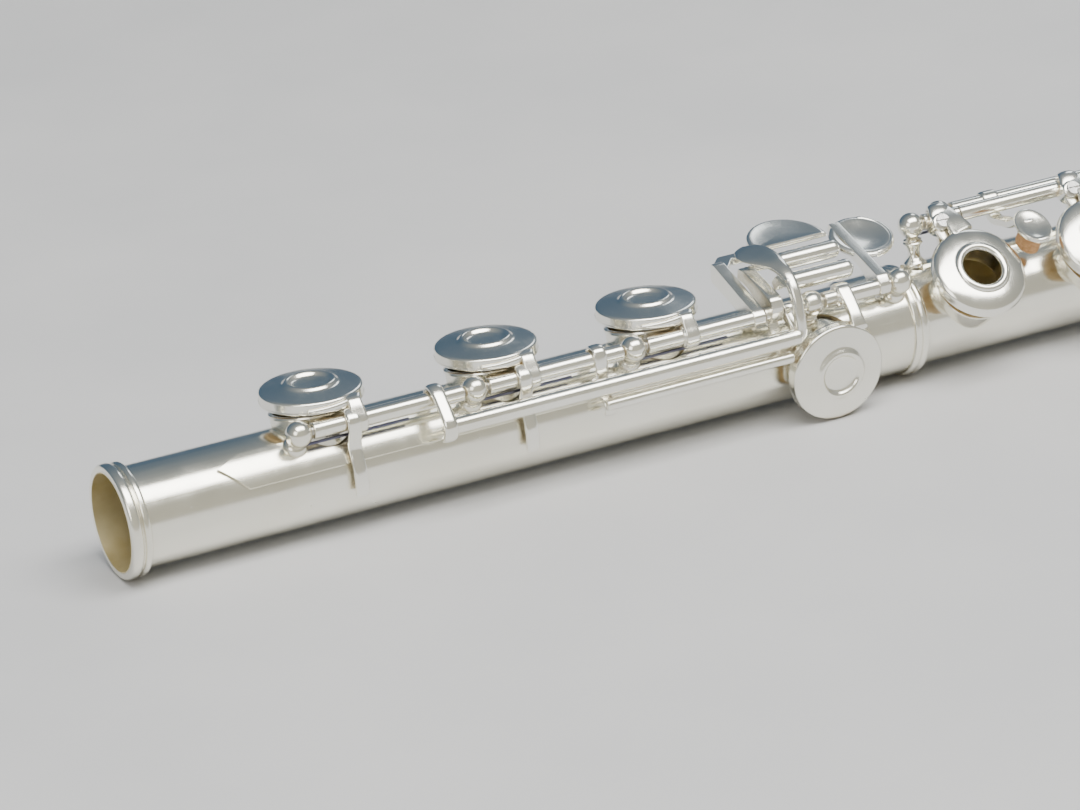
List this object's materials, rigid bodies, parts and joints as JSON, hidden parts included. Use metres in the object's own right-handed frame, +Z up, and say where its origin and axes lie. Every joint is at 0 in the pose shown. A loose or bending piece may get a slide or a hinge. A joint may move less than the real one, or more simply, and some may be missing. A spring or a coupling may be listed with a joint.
{
  "type": "concert flute",
  "caption": "Open-hole concert flute in three joints: keyed body tube, foot joint to low B and tapered head joint with lip plate, tuning slide and crown.",
  "frame": {"origin": "centre of the open foot end, on the tube axis", "axes": "+X along the tube from the foot end to the crown; +Z up with the flute lying on a surface; the player's side is +Y"},
  "size_m": [0.7034, 0.0373, 0.0331],
  "materials": {
    "tube_silver": "polished silver plate over nickel silver, warm white with faint handling haze",
    "key_silver": "bright silver plate, a little softer on the cup tops",
    "hinge_steel": "turned steel, satin",
    "spring_steel": "drawn needle wire, slightly blued",
    "pad_skin": "thin amber skin over felt",
    "bumper_cork": "cut cork, matt with dark flecks"
  },
  "bodies": {
    "body": {"body_tube": "tube_silver", "barrel": "tube_silver", "body_rib": "tube_silver", "body_posts": "tube_silver", "main_steel_rods": "hinge_steel", "back_steel_rods": "hinge_steel", "body_springs": "spring_steel"},
    "foot": {"foot_tube": "tube_silver", "foot_end_ring": "tube_silver", "foot_socket_ring": "tube_silver", "foot_rib": "tube_silver", "foot_posts": "tube_silver", "foot_steel_rods": "hinge_steel", "foot_springs": "spring_steel"},
    "head": {"head_tube": "tube_silver", "lip_plate": "tube_silver", "embouchure_riser": "tube_silver"},
    "crown": {"crown": "tube_silver"},
    "stopper": {"stopper_cork": "bumper_cork", "stopper_screw": "hinge_steel"},
    "b_key": {"b_key": "key_silver", "b_pad": "pad_skin"},
    "c_key": {"c_key": "key_silver", "c_pad": "pad_skin"},
    "foot_c_sharp_key": {"foot_c_sharp_key": "key_silver", "foot_c_sharp_pad": "pad_skin"},
    "d_sharp_key": {"d_sharp_key": "key_silver", "d_sharp_pad": "pad_skin"},
    "b_roller": {"b_roller": "key_silver"},
    "c_roller": {"c_roller": "key_silver"},
    "d_key": {"d_key": "key_silver", "d_pad": "pad_skin", "d_key_screw": "hinge_steel"},
    "e_key": {"e_key": "key_silver", "e_pad": "pad_skin", "e_key_screw": "hinge_steel"},
    "f_key": {"f_key": "key_silver", "f_pad": "pad_skin"},
    "f_sharp_key": {"f_sharp_key": "key_silver", "f_sharp_pad": "pad_skin"},
    "g_key": {"g_key": "key_silver", "g_pad": "pad_skin"},
    "a_key": {"a_key": "key_silver", "a_pad": "pad_skin"},
    "b_flat_key": {"b_flat_key": "key_silver", "b_flat_pad": "pad_skin"},
    "upper_c_sharp_key": {"upper_c_sharp_key": "key_silver", "upper_c_sharp_pad": "pad_skin"},
    "d_trill_key": {"d_trill_key": "key_silver", "d_trill_pad": "pad_skin", "d_trill_cork": "bumper_cork"},
    "d_sharp_trill_key": {"d_sharp_trill_key": "key_silver", "d_sharp_trill_pad": "pad_skin", "d_sharp_trill_cork": "bumper_cork"},
    "thumb_b_key": {"thumb_b_key": "key_silver", "thumb_b_pad": "pad_skin"},
    "thumb_b_flat_lever": {"thumb_b_flat_lever": "key_silver"},
    "g_sharp_key": {"g_sharp_key": "key_silver", "g_sharp_pad": "pad_skin"}
  },
  "joints": [
    {"name": "head_tuning_slide", "type": "slide", "parent": "body", "child": "head", "axis": [1, 0, 0], "range_m": [0, 0.01]},
    {"name": "crown_turn", "type": "hinge", "parent": "head", "child": "crown", "pos_m": [0.6925, 0, 0], "axis": [1, 0, 0], "range_deg": [0, 720]},
    {"name": "stopper_slide", "type": "slide", "parent": "head", "child": "stopper", "axis": [1, 0, 0], "range_m": [0, 0.0021]},
    {"name": "foot_turn", "type": "hinge", "parent": "body", "child": "foot", "pos_m": [0.165, 0, 0], "axis": [1, 0, 0], "range_deg": [-20, 20]},
    {"name": "b_key_hinge", "type": "hinge", "parent": "foot", "child": "b_key", "pos_m": [0.054, -0.00827, 0.01191], "axis": [-1, 0, 0], "range_deg": [0, 8.5], "stiffness_Nm_per_rad": 0.02, "springref_deg": -17.19},
    {"name": "c_key_hinge", "type": "hinge", "parent": "foot", "child": "c_key", "pos_m": [0.089, -0.00827, 0.01191], "axis": [-1, 0, 0], "range_deg": [0, 8.5], "stiffness_Nm_per_rad": 0.02, "springref_deg": -17.19},
    {"name": "foot_c_sharp_key_hinge", "type": "hinge", "parent": "foot", "child": "foot_c_sharp_key", "pos_m": [0.122, -0.00827, 0.01191], "axis": [-1, 0, 0], "range_deg": [0, 8.5], "stiffness_Nm_per_rad": 0.02, "springref_deg": -17.19},
    {"name": "d_sharp_key_hinge", "type": "hinge", "parent": "foot", "child": "d_sharp_key", "pos_m": [0.156, -0.00827, 0.01191], "axis": [-1, 0, 0], "range_deg": [0, 9], "stiffness_Nm_per_rad": 0.02, "springref_deg": -17.19},
    {"name": "d_key_hinge", "type": "hinge", "parent": "body", "child": "d_key", "pos_m": [0.183, 0.003, 0.01795], "axis": [1, 0, 0], "range_deg": [0, 7.5], "stiffness_Nm_per_rad": 0.02, "springref_deg": -17.19},
    {"name": "e_key_hinge", "type": "hinge", "parent": "body", "child": "e_key", "pos_m": [0.202, 0.003, 0.01795], "axis": [1, 0, 0], "range_deg": [0, 7.5], "stiffness_Nm_per_rad": 0.02, "springref_deg": -17.19},
    {"name": "f_key_hinge", "type": "hinge", "parent": "body", "child": "f_key", "pos_m": [0.232, 0.003, 0.01795], "axis": [1, 0, 0], "range_deg": [0, 7.5], "stiffness_Nm_per_rad": 0.02, "springref_deg": -17.19},
    {"name": "f_sharp_key_hinge", "type": "hinge", "parent": "body", "child": "f_sharp_key", "pos_m": [0.261, 0.003, 0.01795], "axis": [1, 0, 0], "range_deg": [0, 7.5], "stiffness_Nm_per_rad": 0.02, "springref_deg": -17.19},
    {"name": "g_key_hinge", "type": "hinge", "parent": "body", "child": "g_key", "pos_m": [0.296, 0.003, 0.01795], "axis": [1, 0, 0], "range_deg": [0, 7.5], "stiffness_Nm_per_rad": 0.02, "springref_deg": -17.19},
    {"name": "a_key_hinge", "type": "hinge", "parent": "body", "child": "a_key", "pos_m": [0.335, 0.003, 0.01795], "axis": [1, 0, 0], "range_deg": [0, 7.5], "stiffness_Nm_per_rad": 0.02, "springref_deg": -17.19},
    {"name": "b_flat_key_hinge", "type": "hinge", "parent": "body", "child": "b_flat_key", "pos_m": [0.352, 0.003, 0.01795], "axis": [1, 0, 0], "range_deg": [0, 7.5], "stiffness_Nm_per_rad": 0.02, "springref_deg": -17.19},
    {"name": "upper_c_sharp_key_hinge", "type": "hinge", "parent": "body", "child": "upper_c_sharp_key", "pos_m": [0.385, 0.003, 0.01795], "axis": [1, 0, 0], "range_deg": [0, 7.5], "stiffness_Nm_per_rad": 0.02, "springref_deg": -17.19},
    {"name": "d_trill_key_hinge", "type": "hinge", "parent": "body", "child": "d_trill_key", "pos_m": [0.32, 0.00861, 0.0166], "axis": [1, 0, 0], "range_deg": [0, 8], "stiffness_Nm_per_rad": 0.02, "springref_deg": -17.19},
    {"name": "d_sharp_trill_key_hinge", "type": "hinge", "parent": "body", "child": "d_sharp_trill_key", "pos_m": [0.32, 0.00861, 0.0166], "axis": [1, 0, 0], "range_deg": [0, 8], "stiffness_Nm_per_rad": 0.02, "springref_deg": -17.19},
    {"name": "thumb_b_key_hinge", "type": "hinge", "parent": "body", "child": "thumb_b_key", "pos_m": [0.368, 0.01078, 0.0097], "axis": [-1, 0, 0], "range_deg": [0, 8.5], "stiffness_Nm_per_rad": 0.02, "springref_deg": -17.19},
    {"name": "thumb_b_flat_lever_hinge", "type": "hinge", "parent": "body", "child": "thumb_b_flat_lever", "pos_m": [0.346, 0.01078, 0.0097], "axis": [-1, 0, 0], "range_deg": [0, 6], "stiffness_Nm_per_rad": 0.02, "springref_deg": -17.19},
    {"name": "g_sharp_key_hinge", "type": "hinge", "parent": "body", "child": "g_sharp_key", "pos_m": [0.287, 0.01078, 0.0097], "axis": [1, 0, 0], "range_deg": [0, 10], "stiffness_Nm_per_rad": 0.02, "springref_deg": -17.19},
    {"name": "b_roller_spin", "type": "hinge", "parent": "b_key", "child": "b_roller", "pos_m": [0.1503, -0.005, 0.016], "axis": [1, 0, 0], "continuous": true},
    {"name": "c_roller_spin", "type": "hinge", "parent": "c_key", "child": "c_roller", "pos_m": [0.1512, 0.0016, 0.0178], "axis": [1, 0, 0], "continuous": true}
  ],
  "couplings": [
    {"joint": "stopper_slide", "follows": "crown_turn", "m_per_rad": 0.00015915},
    {"joint": "f_sharp_key_hinge", "follows": "f_key_hinge", "ratio": 1},
    {"joint": "b_flat_key_hinge", "follows": "a_key_hinge", "ratio": 1}
  ]
}
